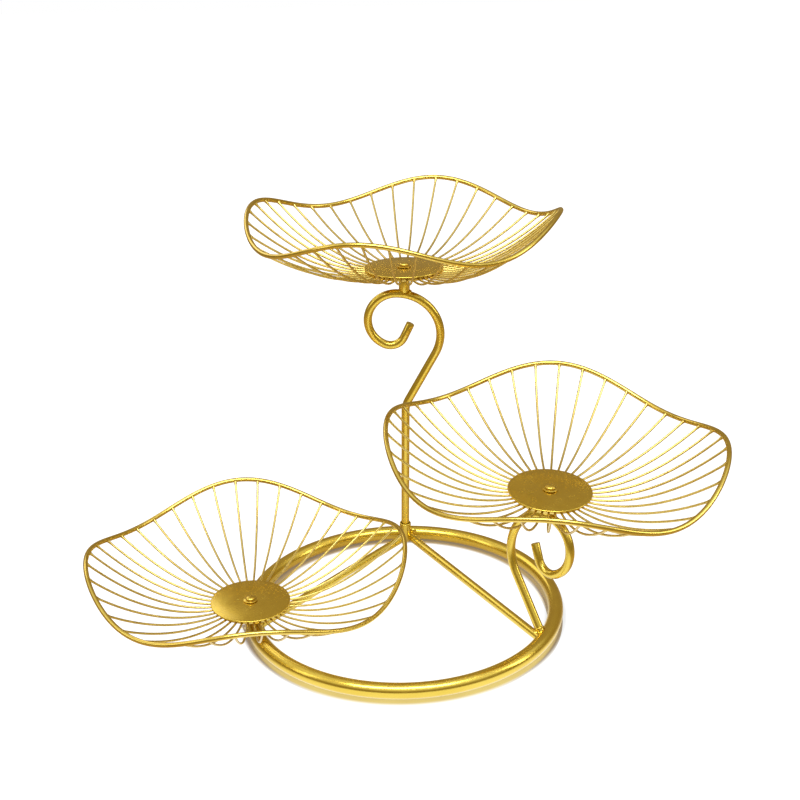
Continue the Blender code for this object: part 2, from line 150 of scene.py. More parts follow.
def shade(piece, angle=40):
    """Smooths the piece, but keeps edges that turn by more than the angle."""
    take(piece)
    bpy.ops.object.shade_smooth_by_angle(angle=math.radians(angle))
    return piece


def join(pieces, name):
    clear_selection()
    for piece in pieces:
        piece.select_set(True)
    bpy.context.view_layer.objects.active = pieces[0]
    bpy.ops.object.join()
    pieces[0].name = name
    return pieces[0]


print("placing is ready")

# %% [markdown]
# ## Drawing a wire
# Wire is bent cold over pegs, so it keeps its round section all along. The way to draw it is
# the bender's own: start at one end and go on point by point. A single vertex is extruded
# along the path, the chain of edges becomes a curve, and the curve's bevel gives it its
# thickness. Sweeping a section by hand would do the same with far more steps.

# %% A wire through a list of points


def thicken(piece, radius, detail, flare=1.0):
    """Turns a chain of edges into a wire of that radius."""
    take(piece)
    bpy.ops.object.convert(target="CURVE")
    piece = bpy.context.object
    curve = piece.data
    if flare != 1.0:
        curve.splines[0].points[-1].radius = flare
    curve.bevel_depth = radius
    curve.bevel_resolution = detail
    curve.use_fill_caps = True
    bpy.ops.object.convert(target="MESH")
    piece = bpy.context.object
    face_out(piece)
    return piece


def drawn_wire(name, points, radius, detail, flare=1.0):
    """A round wire with closed ends. The flare widens its last point into a weld."""
    clear_selection()
    bpy.ops.mesh.primitive_circle_add(vertices=3, radius=radius, location=points[0])
    piece = bpy.context.object
    piece.name = name
    bpy.ops.object.transform_apply(location=True, rotation=True, scale=True)
    bpy.ops.object.mode_set(mode="EDIT")
    bpy.ops.mesh.select_all(action="SELECT")
    bpy.ops.mesh.merge(type="CENTER")
    for here, there in zip(points, points[1:]):
        step = Vector(there) - Vector(here)
        bpy.ops.mesh.extrude_vertices_move(TRANSFORM_OT_translate={"value": step})
    bpy.ops.object.mode_set(mode="OBJECT")
    return thicken(piece, radius, detail, flare)


print("wire tool ready")

# %% [markdown]
# ## Turning a part
# Sockets, bosses, plates and screws come off a lathe. The same shape is made here from a
# disc: it is extruded up a step, resized to the next radius, and so on along the profile.
# A step back down inside makes a bore, so the piece stays one closed shell. The Screw
# modifier could turn a profile too, but it would leave the ends to be closed by hand.

# %% A turned part from (radius, height) steps
NEAR_AXIS = 0.2 * MM  # a bore's floor is closed by a small face round the axis


def in_mm(*steps):
    return [(radius * MM, height * MM) for radius, height in steps]


def turned_part(name, profile, sides=48):
    clear_selection()
    radius, height = profile[0]
    bpy.ops.mesh.primitive_circle_add(
        vertices=sides, radius=radius, fill_type="NGON", location=(0, 0, height)
    )
    piece = bpy.context.object
    piece.name = name
    bpy.ops.object.transform_apply(location=True, rotation=True, scale=True)
    bpy.ops.object.mode_set(mode="EDIT")
    bpy.ops.mesh.select_all(action="SELECT")
    for there, up in profile[1:]:
        bpy.ops.mesh.extrude_region_move(
            TRANSFORM_OT_translate={"value": (0, 0, up - height)}
        )
        size = there / radius
        bpy.ops.transform.resize(value=(size, size, 1), center_override=(0, 0, up))
        radius, height = there, up
    bpy.ops.object.mode_set(mode="OBJECT")
    face_out(piece)
    return piece


print("lathe ready")

# %% [markdown]
# ## The base ring
# The ring is one tube bent round and butt-welded. It could be a circle with a bevel, as the
# wires are, but a torus has that shape from the start. Its underside is worn to a narrow flat
# where it rests on the table, which is made by picking the lowest vertices and resizing them
# to the table's height.

# %% Base ring
WORN = 0.1 * MM
clear_selection()
bpy.ops.mesh.primitive_torus_add(
    major_radius=RING_RADIUS,
    minor_radius=RING_TUBE,
    major_segments=200,
    minor_segments=28,
    location=RING_CENTRE + Vector((0, 0, RING_HEIGHT)),
)
base_ring = bpy.context.object
base_ring.name = "base_ring_tube"
bpy.ops.object.transform_apply(location=True, rotation=True, scale=True)
bpy.ops.object.mode_set(mode="EDIT")
pick(base_ring, lambda co: co.z < WORN)
bpy.ops.transform.resize(value=(1, 1, 0), center_override=(0, 0, 0))
bpy.ops.object.mode_set(mode="OBJECT")
shade(base_ring)
print("ring faces", len(base_ring.data.polygons))

# %% [markdown]
# ## Where the stems stand
# Each rod lies in one flat plane, like wire bent on a bench. A frame at its foot has X along
# that plane and Z up the rod, so that the bends can be worked out flat, as on paper, and then
# carried into space. The back rod stands in a socket inside the ring, and the middle rod on
# the ring itself.

# %% Frames of the two rods
SOCKET = 5.35 * MM
FIT = 0.3 * MM
BACK_FOOT = ring_point(89.0, RING_INNER - SOCKET - FIT, RING_HEIGHT)
MIDDLE_FOOT = ring_point(-26.3, RING_RADIUS - 3.3 * MM, RING_HEIGHT)
ROD_DROP = {"top": 20.95 * MM, "middle": 22.1 * MM}  # from a hub down to its rod's axis


def boss_foot(tier):
    return bowl_place(tier) @ Vector((0, 0, -ROD_DROP[tier]))


def stem_frame(foot, top, turn, dip):
    """Z rises from the foot to the top, and X is turned about Z and dips by those degrees."""
    x = Euler((0, math.radians(dip), math.radians(turn))).to_matrix() @ Vector((1, 0, 0))
    rise = top - foot
    z = (rise - x * rise.dot(x)).normalized()
    return Matrix.Translation(foot) @ Matrix((x, z.cross(x), z)).transposed().to_4x4()


top_frame = stem_frame(BACK_FOOT, boss_foot("top"), 0.0, 1.2)
middle_frame = stem_frame(MIDDLE_FOOT, boss_foot("middle"), -49.0, 1.3)
print("back foot", [round(v, 4) for v in BACK_FOOT])
print("middle foot", [round(v, 4) for v in MIDDLE_FOOT])

# %% [markdown]
# ## How the stems run
# The loop turns tighter in three steps, as a bender's pegs do, and ends in a straight tail. It
# starts where the straight run touches the first, widest arc. A spiral formula would look
# much the same, but arcs are what the pegs leave. The top rod also has a soft neck, where it
# bends outward on its way up.

# %% Bends of a rod
SCROLL = (39.0 * MM, 25.0 * MM, 13.0 * MM)
SCROLL_TURNS = (155.0, 91.0)
TAIL = 14.0 * MM
NECK = 24.0 * MM
NECK_STEPS = 8
STEP = 5.0  # degrees between two points of an arc


def arc(centre, radius, start, turn):
    count = max(2, math.ceil(abs(turn) / STEP))
    angles = [math.radians(start + turn * i / count) for i in range(count + 1)]
    return [centre + radius * Vector((math.cos(a), math.sin(a))) for a in angles]


def loop_points(start, boss, offset):
    """Three arcs and a tail. The first passes under the boss, which stands offset off its top."""
    wide, middle, tight = SCROLL
    centre = Vector((boss.x - offset, boss.y - math.sqrt(wide**2 - offset**2)))
    away = start - centre
    angle = math.degrees(math.atan2(away.y, away.x) + math.acos(wide / away.length))
    first = arc(centre, wide, angle, 90.0 - angle)
    centre = centre + Vector((0, wide - middle))
    second = arc(centre, middle, 90.0, SCROLL_TURNS[0])
    turned = math.radians(90.0 + SCROLL_TURNS[0])
    inward = Vector((math.cos(turned), math.sin(turned)))
    centre = centre + inward * (middle - tight)
    third = arc(centre, tight, math.degrees(turned), SCROLL_TURNS[1])
    heading = turned + math.radians(SCROLL_TURNS[1] + 90.0)
    tail = third[-1] + TAIL * Vector((math.cos(heading), math.sin(heading)))
    return [*first, *second[1:], *third[1:], tail]


def neck_points(corner, towards):
    """Rounds the corner where the upright rod turns towards that point."""
    slope = math.atan2(towards.y - corner.y, towards.x - corner.x)
    bend = math.pi / 2 - slope
    begin = corner - Vector((0, NECK * math.tan(bend / 2)))
    centre = begin + Vector((NECK, 0))
    turns = [bend * i / NECK_STEPS for i in range(NECK_STEPS + 1)]
    return [centre + NECK * Vector((-math.cos(a), math.sin(a))) for a in turns]


print("bends ready")

# %% Paths of the two rods
NECK_DROP = 107.4 * MM  # from the top boss down to the neck
ROD_START = 0.7 * MM
OFFSET = {"top": 7.1 * MM, "middle": 2.5 * MM}

top_boss = top_frame.inverted() @ boss_foot("top")
corner = Vector((0, top_boss.z - NECK_DROP))
loop = loop_points(corner, Vector((top_boss.x, top_boss.z)), OFFSET["top"])
top_path = [Vector((0, ROD_START)), *neck_points(corner, loop[0]), *loop]
top_path = [top_frame @ Vector((p.x, 0, p.y)) for p in top_path]

middle_boss = middle_frame.inverted() @ boss_foot("middle")
foot = Vector((0, 0))
loop = loop_points(foot, Vector((-middle_boss.x, middle_boss.z)), OFFSET["middle"])
middle_path = [middle_frame @ Vector((-p.x, 0, p.y)) for p in (foot, *loop)]
print("points on the rods", len(top_path), len(middle_path))

# %% [markdown]
# ## The two stems
# The rods are solid and their ends are cut square. A cut end has its sharp edge broken with
# a file, so the tip of each scroll gets a small bevel. A Bevel modifier with an angle limit
# finds those edges by itself, and leaves the round of the rod alone.

# %% Rods
ROD = 3.75 * MM
FILED = 0.3 * MM


def rod(name, path):
    piece = drawn_wire(name, path, ROD, 8)
    take(piece)
    soften = piece.modifiers.new("filed edge", "BEVEL")
    soften.width = FILED
    soften.segments = 2
    soften.limit_method = "ANGLE"
    soften.angle_limit = math.radians(60)
    bpy.ops.object.modifier_apply(modifier=soften.name)
    return shade(piece)


top_rod = rod("top_stem_rod", top_path)
middle_rod = rod("middle_stem_rod", middle_path)
print("rod faces", len(top_rod.data.polygons), len(middle_rod.data.polygons))

# %% [markdown]
# ## The back socket
# The top rod plugs into a short length of tube that stands against the ring. It is turned
# with its bore and with a small chamfer round its mouth, where the rod is led in. The bore is
# part of the profile, which is cleaner than a hole that is cut out afterwards.

# %% Back socket
SOCKET_BORE = 4.05 * MM
SOCKET_FLOOR = 1.6 * MM
SOCKET_LIFT = 5.0 * MM
SOCKET_HEIGHT = 19.5 * MM
back_socket = turned_part(
    "back_socket_tube",
    [
        (SOCKET - 0.3 * MM, 0.0),
        (SOCKET, 0.3 * MM),
        (SOCKET, SOCKET_HEIGHT - 0.6 * MM),
        (SOCKET - 0.25 * MM, SOCKET_HEIGHT - 0.2 * MM),
        (SOCKET - 0.6 * MM, SOCKET_HEIGHT),
        (SOCKET_BORE + 0.2 * MM, SOCKET_HEIGHT),
        (SOCKET_BORE, SOCKET_HEIGHT - 0.3 * MM),
        (SOCKET_BORE, SOCKET_FLOOR),
        (NEAR_AXIS, SOCKET_FLOOR),
    ],
)
settle(back_socket, top_frame @ Matrix.Translation((0, 0, SOCKET_LIFT - RING_HEIGHT)))
shade(back_socket, 50)
print("back socket", len(back_socket.data.polygons), "faces")

# %% [markdown]
# ## Trimming where pieces meet
# A welder files the end of a bar to sit against a round tube. In a model the tube itself does
# the filing: a slightly thicker copy of it is subtracted from the end of the piece.

# %% Trimming against the ring
PLAY = 0.05 * MM


def ring_cutter():
    """A tube a little thicker than the ring's, to trim what is welded to the ring."""
    clear_selection()
    bpy.ops.mesh.primitive_torus_add(
        major_radius=RING_RADIUS,
        minor_radius=RING_TUBE + PLAY,
        major_segments=160,
        minor_segments=24,
        location=RING_CENTRE + Vector((0, 0, RING_HEIGHT)),
    )
    return bpy.context.object


def trim(piece, cutter):
    take(piece)
    cut = piece.modifiers.new("trim", "BOOLEAN")
    cut.operation = "DIFFERENCE"
    cut.solver = "EXACT"
    cut.object = cutter
    bpy.ops.object.modifier_apply(modifier=cut.name)
    bpy.data.objects.remove(cutter, do_unlink=True)


trim(middle_rod, ring_cutter())
shade(middle_rod)
print("middle rod trimmed", len(middle_rod.data.polygons), "faces")

# %% [markdown]
# ## The V of bars
# Two straight bars brace the ring. One runs past the socket to the foot of the middle rod, the
# other from the socket to under the low bowl. Each is a plain cylinder laid between two
# points, and its ends are trimmed by what it meets.

# %% Laying a cylinder between two points


def leaning(start, direction):
    """A frame at start whose Z runs along the direction."""
    z = direction.normalized()
    x = Vector((0, 0, 1)).cross(z).normalized()
    return Matrix.Translation(start) @ Matrix((x, z.cross(x), z)).transposed().to_4x4()


def cylinder(name, radius, length, place):
    """A cylinder that stands on the frame's XY plane."""
    clear_selection()
    bpy.ops.mesh.primitive_cylinder_add(
        vertices=40, radius=radius, depth=length, location=(0, 0, length / 2)
    )
    piece = bpy.context.object
    piece.name = name
    settle(piece)
    return settle(piece, place)


def socket_cutter():
    """A post a little thicker than the socket, and longer at both ends."""
    foot = top_frame @ Matrix.Translation((0, 0, -3.0 * MM))
    return cylinder("socket_cutter", SOCKET + PLAY, 22.0 * MM, foot)


print("cylinder and cutter ready")

# %% Bars
BAR = 3.75 * MM
BAR_HEIGHT = 8.0 * MM
BAR_ENDS = {
    "right_bar": (
        ring_point(90.0, RING_RADIUS, BAR_HEIGHT),
        ring_point(-30.0, RING_RADIUS, BAR_HEIGHT),
    ),
    "left_bar": (
        Vector((BACK_FOOT.x, BACK_FOOT.y, BAR_HEIGHT)),
        ring_point(197.5, RING_RADIUS, BAR_HEIGHT),
    ),
}
bars = {}
for name, (start, end) in BAR_ENDS.items():
    bar = cylinder(name + "_rod", BAR, (end - start).length, leaning(start, end - start))
    trim(bar, ring_cutter())
    trim(bar, socket_cutter())
    bars[name] = bar
trim(bars["right_bar"], drawn_wire("rod_cutter", middle_path[:4], ROD + PLAY, 6))
for name, bar in bars.items():
    shade(bar)
    print(name, len(bar.data.polygons), "faces")

# %% [markdown]
# ## Bosses
# A boss is the short post between a rod and a bowl. It is a turned blank with a hole for the
# screw, and its flat foot is sunk into the rod that it is welded to. The low one stands on the
# ring, so the ring's tube is subtracted from its foot.

# %% Bosses
BOSS = 4.8 * MM
BOSS_TOP = 1.5 * MM
HOLE = 2.0 * MM
HOLE_FLOOR = -4.2 * MM
BOSS_FOOT = {tier: 1.5 * MM - drop for tier, drop in ROD_DROP.items()}
BOSS_FOOT["low"] = 8.6 * MM - BOWLS["low"][0].z
bosses = {}
for tier in BOWLS:
    profile = [
        (BOSS - 0.2 * MM, BOSS_FOOT[tier]),
        (BOSS, BOSS_FOOT[tier] + 0.3 * MM),
        (BOSS, BOSS_TOP - 0.5 * MM),
        (BOSS - 0.5 * MM, BOSS_TOP),
        (HOLE + 0.2 * MM, BOSS_TOP),
        (HOLE, BOSS_TOP - 0.3 * MM),
        (HOLE, HOLE_FLOOR),
        (NEAR_AXIS, HOLE_FLOOR),
    ]
    piece = turned_part(tier + "_boss_post", profile, 40)
    settle(piece, bowl_place(tier))
    if tier == "low":
        trim(piece, ring_cutter())
    bosses[tier] = shade(piece, 50)
print("bosses", len(bosses))

# %% [markdown]
# ## A bowl's rim
# The rim is a ring of thick wire with four waves. A circle is drawn first, and then the
# vertices that stand at the same place in a wave are picked together, lifted by that wave's
# height and moved out a little. Doing it in groups keeps the four waves exactly alike.

# %% The wave of a rim
BOWL_RADIUS = 132.0 * MM
BOWL_DEPTH = 44.0 * MM
WAVES = 4
WAVE_HEIGHT = 10.4 * MM
WAVE_REACH = 0.6 * MM


def wave(angle):
    return math.cos(WAVES * angle)


def rim_radius(angle):
    return BOWL_RADIUS + WAVE_REACH * wave(angle)


def rim_height(angle):
    return BOWL_DEPTH + WAVE_HEIGHT * wave(angle)


print("rim", [round(rim_height(angle) / MM, 1) for angle in (math.pi / WAVES, 0.0)], "mm up")

# %% Rims
RIM = 2.0 * MM
RIM_POINTS = 144


def bowl_rim(name):
    clear_selection()
    bpy.ops.mesh.primitive_circle_add(vertices=RIM_POINTS, radius=BOWL_RADIUS)
    piece = bpy.context.object
    piece.name = name
    bpy.ops.object.mode_set(mode="EDIT")
    steps = RIM_POINTS // WAVES // 2
    for step in range(steps + 1):
        angle = math.pi / WAVES * step / steps
        pick(piece, lambda co: abs(wave(math.atan2(co.y, co.x)) - wave(angle)) < 0.0001)
        size = rim_radius(angle) / BOWL_RADIUS
        bpy.ops.transform.resize(value=(size, size, 1), center_override=(0, 0, 0))
        bpy.ops.transform.translate(value=(0, 0, rim_height(angle)))
    bpy.ops.object.mode_set(mode="OBJECT")
    return shade(thicken(piece, RIM, 6))


rims = {tier: settle(bowl_rim(tier + "_bowl_rim_wire"), bowl_place(tier)) for tier in BOWLS}
print("rim faces", len(rims["top"].data.polygons))

# %% [markdown]
# ## A bowl's wires
# Forty thin wires run from under the plate down and out along the belly and up to the rim.
# Only one quarter of them is drawn: the bowl repeats every quarter turn, so each drawn wire
# is copied three times. At the rim each wire widens into its little weld.

# %% One wire, copied round the bowl
HUB_INNER = 24.0 * MM
HUB_OUTER = 31.0 * MM
BELLY_POWER = 1.95
WIRE = 0.95 * MM
WIRE_STEPS = 15
CROWDING = 0.85  # below 1, a wire's points lie closer together towards the rim
WIRE_ENDS = (5.0 * MM, 0.8 * MM)  # its last points, by their distance from the rim's axis


def wire_points(angle):
    rim = Vector((rim_radius(angle), rim_height(angle)))
    start = (HUB_INNER + HUB_OUTER) / 2
    points = []
    for i in range(WIRE_STEPS):
        out = start + (rim.x - start) * (i / WIRE_STEPS) ** CROWDING
        share = max(0.0, out - HUB_OUTER) / (rim.x - HUB_OUTER)
        points.append(Vector((out, rim.y * share**BELLY_POWER)))
    away = (points[-1] - rim).normalized()
    points.extend(rim + away * distance for distance in WIRE_ENDS)
    return [Vector((p.x * math.cos(angle), p.x * math.sin(angle), p.y)) for p in points]


def copied_round(piece, count):
    """Copies the piece round Z, each copy with its own mesh."""
    copies = [piece]
    for i in range(1, count):
        take(piece)
        bpy.ops.object.duplicate()
        copy = bpy.context.object
        copies.append(settle(copy, Matrix.Rotation(math.tau * i / count, 4, "Z")))
    return copies


print("points on a wire", len(wire_points(0.0)))

# %% [markdown]
# ## The hub ring
# Under the plate the wires are welded to a flat ring. It is turned like the other parts, up
# its outside and down its inside, which leaves one disc across its bottom and one inside it.
# Those discs are deleted and the two open edges are bridged, so that the ring closes on
# itself.

# %% Hub ring
HUB_HEIGHT = 3.0 * MM
HUB_EDGE = 0.4 * MM


def hub_ring(name):
    half = HUB_HEIGHT / 2
    profile = [
        (HUB_OUTER - HUB_EDGE, -half),
        (HUB_OUTER, HUB_EDGE - half),
        (HUB_OUTER, half - HUB_EDGE),
        (HUB_OUTER - HUB_EDGE, half),
        (HUB_INNER, half),
        (HUB_INNER, -half),
    ]
    hub = turned_part(name, profile, 80)
    take(hub)
    bpy.ops.object.mode_set(mode="EDIT")
    bpy.ops.mesh.select_mode(type="FACE")
    bpy.ops.mesh.select_all(action="DESELECT")
    bpy.ops.object.mode_set(mode="OBJECT")
    for face in hub.data.polygons:
        face.select = len(face.vertices) > 4
    bpy.ops.object.mode_set(mode="EDIT")
    bpy.ops.mesh.delete(type="ONLY_FACE")
    bpy.ops.mesh.select_mode(type="VERT")
    bpy.ops.mesh.select_all(action="SELECT")
    bpy.ops.mesh.remove_doubles(threshold=0.00001)
    pick(hub, lambda co: co.z < 0.05 * MM - half and co.xy.length < HUB_OUTER - HUB_EDGE / 2)
    bpy.ops.mesh.bridge_edge_loops()
    bpy.ops.object.mode_set(mode="OBJECT")
    face_out(hub)
    return hub


print("hub ring", round(2 * HUB_OUTER / MM), "mm across")

# %% Sprays of wires on their hub rings
WIRES_PER_WAVE = 10


def bowl_wires(tier):
    first = math.radians(BOWLS[tier][3])
    spray = []
    for i in range(WIRES_PER_WAVE):
        angle = first + math.tau * i / (WAVES * WIRES_PER_WAVE)
        wire = drawn_wire(tier + "_wire", wire_points(angle), WIRE, 3, flare=1.7)
        spray.extend(copied_round(wire, WAVES))
    piece = join([hub_ring(tier + "_hub_ring"), *spray], tier + "_bowl_spray")
    return shade(settle(piece, bowl_place(tier)), 60)


sprays = {tier: bowl_wires(tier) for tier in BOWLS}
print("faces in a spray", len(sprays["top"].data.polygons))

# %% [markdown]
# ## Plate, washer and screw
# The plate is a flat disc with a rolled edge, held by one screw through a washer. All three
# are turned. The screw's head is a low dome, whose profile is a quarter of an ellipse.

# %% Plates, washers and screws
PLATE_PROFILE = in_mm(
    (2.0, 1.8), (33.5, 1.8), (34.0, 2.2), (34.0, 2.8), (33.8, 3.1), (33.4, 3.2), (8.0, 3.2),
    (2.0, 3.2),
)
WASHER_PROFILE = in_mm((5.7, 3.5), (6.0, 3.7), (6.0, 4.3), (5.7, 4.5), (2.0, 4.5))
SHANK_PROFILE = in_mm((1.4, -3.9), (1.7, -3.5), (1.7, 4.8), (4.0, 4.8), (4.2, 5.0))
DOME_ANGLES = (0.0, 0.3, 0.6, 0.9, 1.2, 1.5)
DOME_PROFILE = in_mm(*((4.2 * math.cos(a), 5.6 + 1.6 * math.sin(a)) for a in DOME_ANGLES))
TURNED = {
    "_bowl_disc": (PLATE_PROFILE, 96),
    "_bowl_disc_washer": (WASHER_PROFILE, 40),
    "_bowl_disc_screw": (SHANK_PROFILE + DOME_PROFILE, 32),
}
turned_pieces = {}
for tier in BOWLS:
    for ending, (profile, sides) in TURNED.items():
        piece = turned_part(tier + ending, profile, sides)
        turned_pieces[tier + ending] = shade(settle(piece, bowl_place(tier)), 50)
print("turned parts", len(turned_pieces))

# %% [markdown]
# ## Welds
# Where a rod meets a rod, the welder leaves a small bead. A bead is a short ring of metal laid
# round the joint, or one drop set into a corner. Under a post that stands across a rod, the
# ring follows the rod's round back and comes down on either side, like a saddle. A hand-laid
# bead is never quite even, so a displace modifier with a cloudy texture moves its surface in
# and out a little.

# %% Shapes of a weld
LUMP = 0.5 * MM
SADDLE_POINTS = 48
SADDLE_DIP = 2.3 * MM  # how far the bead comes down beside the rod
lumps = bpy.data.textures.new("lumps", "CLOUDS")
lumps.noise_scale = 2.5 * MM
lumps.noise_depth = 1


def lumpy(piece, name, place):
    piece.name = name
    settle(piece)
    settle(piece, place)
    take(piece)
    uneven = piece.modifiers.new("uneven", "DISPLACE")
    uneven.texture = lumps
    uneven.texture_coords = "LOCAL"
    uneven.strength = LUMP
    uneven.mid_level = 0.5
    bpy.ops.object.modifier_apply(modifier=uneven.name)
    return shade(piece, 60)


def bead(name, place, radius, thickness):
    """A ring of weld round a joint, in the frame's XY plane."""
    clear_selection()
    bpy.ops.mesh.primitive_torus_add(
        major_radius=radius * MM, minor_radius=thickness * MM, major_segments=56, minor_segments=14
    )
    return lumpy(bpy.context.object, name, place)


def drop(name, place, size):
    """One drop of weld, as long, wide and high as the size says."""
    clear_selection()
    bpy.ops.mesh.primitive_uv_sphere_add(segments=32, ring_count=18, radius=MM)
    bpy.ops.transform.resize(value=size)
    return lumpy(bpy.context.object, name, place)


def saddle_bead(name, place, radius, thickness):
    """A ring of weld round a post that stands across a rod or tube lying along X."""
    clear_selection()
    bpy.ops.mesh.primitive_circle_add(vertices=SADDLE_POINTS, radius=radius * MM)
    piece = bpy.context.object
    bpy.ops.object.mode_set(mode="EDIT")
    steps = SADDLE_POINTS // 4
    for step in range(1, steps + 1):
        aside = radius * MM * math.sin(math.pi / 2 * step / steps)
        pick(piece, lambda co: abs(abs(co.y) - aside) < 0.01 * MM)
        bpy.ops.transform.translate(value=(0, 0, -SADDLE_DIP * (aside / (radius * MM)) ** 2))
    bpy.ops.object.mode_set(mode="OBJECT")
    return lumpy(thicken(piece, thickness * MM, 5), name, place)


print("weld shapes ready")

# %% Places of the welds


def on_rod(rod_frame, tier, slope):
    """Where the post of that bowl meets its rod, with X along the rod."""
    lift = Matrix.Translation((0, 0, ROD - 0.3 * MM))
    along = rod_frame.to_3x3().to_4x4() @ Matrix.Rotation(math.radians(slope), 4, "Y")
    return Matrix.Translation(boss_foot(tier)) @ along @ lift


def on_ring():
    """Where the low bowl's post meets the ring, with X along the ring."""
    top = ring_point(LOW_SEAT, RING_RADIUS, RING_HEIGHT + RING_TUBE - 0.2 * MM)
    return Matrix.Translation(top) @ Matrix.Rotation(math.radians(LOW_SEAT + 90.0), 4, "Z")


def on_run(start, end, distance):
    """A frame on a straight run, that many millimetres past its start, with Z along it."""
    direction = (end - start).normalized()
    return leaning(start + direction * distance * MM, direction)


right_start, right_end = BAR_ENDS["right_bar"]
left_start, left_end = BAR_ENDS["left_bar"]
right_length = (right_end - right_start).length / MM
left_length = (left_end - left_start).length / MM
back_corner = Matrix.Translation(ring_point(85.6, RING_INNER - 0.5 * MM, 11.6 * MM))
far_end = on_run(right_start, right_end, right_length - 9.0).translation
front_corner = Matrix.Translation(far_end + Vector((0, 0, 2.0 * MM)))
print("bars are", round(right_length), "and", round(left_length), "mm long")

# %% Weld beads
stand_beads = [
    saddle_bead("low_boss_bead", on_ring(), 5.0, 1.1),
    saddle_bead("middle_boss_bead", on_rod(middle_frame, "middle", -3.7), 4.7, 1.2),
    bead("middle_foot_bead", on_run(middle_path[0], middle_path[1], 7.0), 3.7, 0.9),
    bead("left_bar_bead", on_run(left_start, left_end, 5.7), 3.6, 0.8),
    bead("left_bar_far_bead", on_run(left_start, left_end, left_length - 8.0), 3.5, 0.8),
    drop("right_bar_bead", back_corner, (3.4, 2.0, 3.0)),
    drop("right_bar_far_bead", front_corner, (2.8, 2.8, 2.4)),
]
top_beads = [saddle_bead("top_boss_bead", on_rod(top_frame, "top", 10.5), 4.7, 1.2)]
print("beads", len(stand_beads) + len(top_beads))

# %% [markdown]
# ## Nodes that come up again and again
# Materials are small networks of nodes, and a few kinds of node are needed many times over.
# A helper for each kind keeps the networks below short enough to read as a recipe. What goes
# into a node is either a plain value, which is set on its socket, or another node's output,
# which is linked to it.

# %% Helpers for nodes


def feed(tree, socket, value):
    if isinstance(value, bpy.types.NodeSocket):
        tree.links.new(value, socket)
    else:
        socket.default_value = value


def figured(tree, operation, *values):
    """A Math node."""
    step = tree.nodes.new("ShaderNodeMath")
    step.operation = operation
    for socket, value in zip(step.inputs, values):
        feed(tree, socket, value)
    return step.outputs["Value"]


def ranged(tree, value, start, end, low=0.0, high=1.0, way="SMOOTHSTEP"):
    """Runs from low to high while the value goes from start to end."""
    step = tree.nodes.new("ShaderNodeMapRange")
    step.interpolation_type = way
    step.inputs["From Min"].default_value = start
    step.inputs["From Max"].default_value = end
    step.inputs["To Min"].default_value = low
    step.inputs["To Max"].default_value = high
    feed(tree, step.inputs["Value"], value)
    return step.outputs["Result"]


def tinted(tree, share, first, second):
    """A mix of two colours: the first where the share is 0, the second where it is 1."""
    step = tree.nodes.new("ShaderNodeMix")
    step.data_type = "RGBA"
    feed(tree, step.inputs["A"], first)
    feed(tree, step.inputs["B"], second)
    feed(tree, step.inputs["Factor"], share)
    return step.outputs["Result"]


def blended(tree, share, first, second):
    """A mix of two shaders, in the same way."""
    step = tree.nodes.new("ShaderNodeMixShader")
    feed(tree, step.inputs["Fac"], share)
    feed(tree, step.inputs[1], first)
    feed(tree, step.inputs[2], second)
    return step.outputs["Shader"]


def cloudy(tree, scale, detail, roughness=0.5):
    """Soft noise on Object coordinates, which stays where it is when the piece moves."""
    place = tree.nodes.new("ShaderNodeTexCoord")
    noise = tree.nodes.new("ShaderNodeTexNoise")
    noise.inputs["Scale"].default_value = scale
    noise.inputs["Detail"].default_value = detail
    noise.inputs["Roughness"].default_value = roughness
    tree.links.new(place.outputs["Object"], noise.inputs["Vector"])
    return noise.outputs["Fac"]


print("node helpers ready")

# %% [markdown]
# ## The gold plating
# The steel is plated in a warm gold, under a thin clear lacquer that adds a second, sharper
# gloss. It isn't a mirror: the plating follows the drawing marks of the wire under it, so its
# gloss changes from place to place, and its tone varies a little on its own as well. All
# of it is one metal shader whose colour and roughness vary with soft noise, on top of fine
# scratches in the surface. A picture of gold could be wrapped on instead, but its light and
# shade would be fixed, and real metal takes them from the room.

# %% Gold finish
LACQUER = 0.35
LACQUER_ROUGHNESS = 0.12
SCRATCH_DEPTH = 0.0002


def gold_finish(name, light, deep, gloss, spots, scratch):
    finish = bpy.data.materials.new(name)
    finish.use_nodes = True
    tree = finish.node_tree
    shader = tree.nodes["Principled BSDF"]
    shader.inputs["Metallic"].default_value = 1.0
    shader.inputs["Coat Weight"].default_value = LACQUER
    shader.inputs["Coat Roughness"].default_value = LACQUER_ROUGHNESS

    tone = tree.nodes.new("ShaderNodeValToRGB")
    tone.color_ramp.elements[0].position = 0.30
    tone.color_ramp.elements[0].color = (*deep, 1.0)
    tone.color_ramp.elements[1].position = 0.68
    tone.color_ramp.elements[1].color = (*light, 1.0)
    tree.links.new(cloudy(tree, spots, 5.0, 0.6), tone.inputs["Fac"])
    tree.links.new(tone.outputs["Color"], shader.inputs["Base Color"])

    fine = cloudy(tree, spots * 4, 3.0)
    dull = ranged(tree, fine, 0.3, 0.7, *gloss, "LINEAR")
    tree.links.new(dull, shader.inputs["Roughness"])

    bump = tree.nodes.new("ShaderNodeBump")
    bump.inputs["Strength"].default_value = scratch
    bump.inputs["Distance"].default_value = SCRATCH_DEPTH
    tree.links.new(fine, bump.inputs["Height"])
    tree.links.new(bump.outputs["Normal"], shader.inputs["Normal"])
    return finish


print("gold is ready to be mixed")

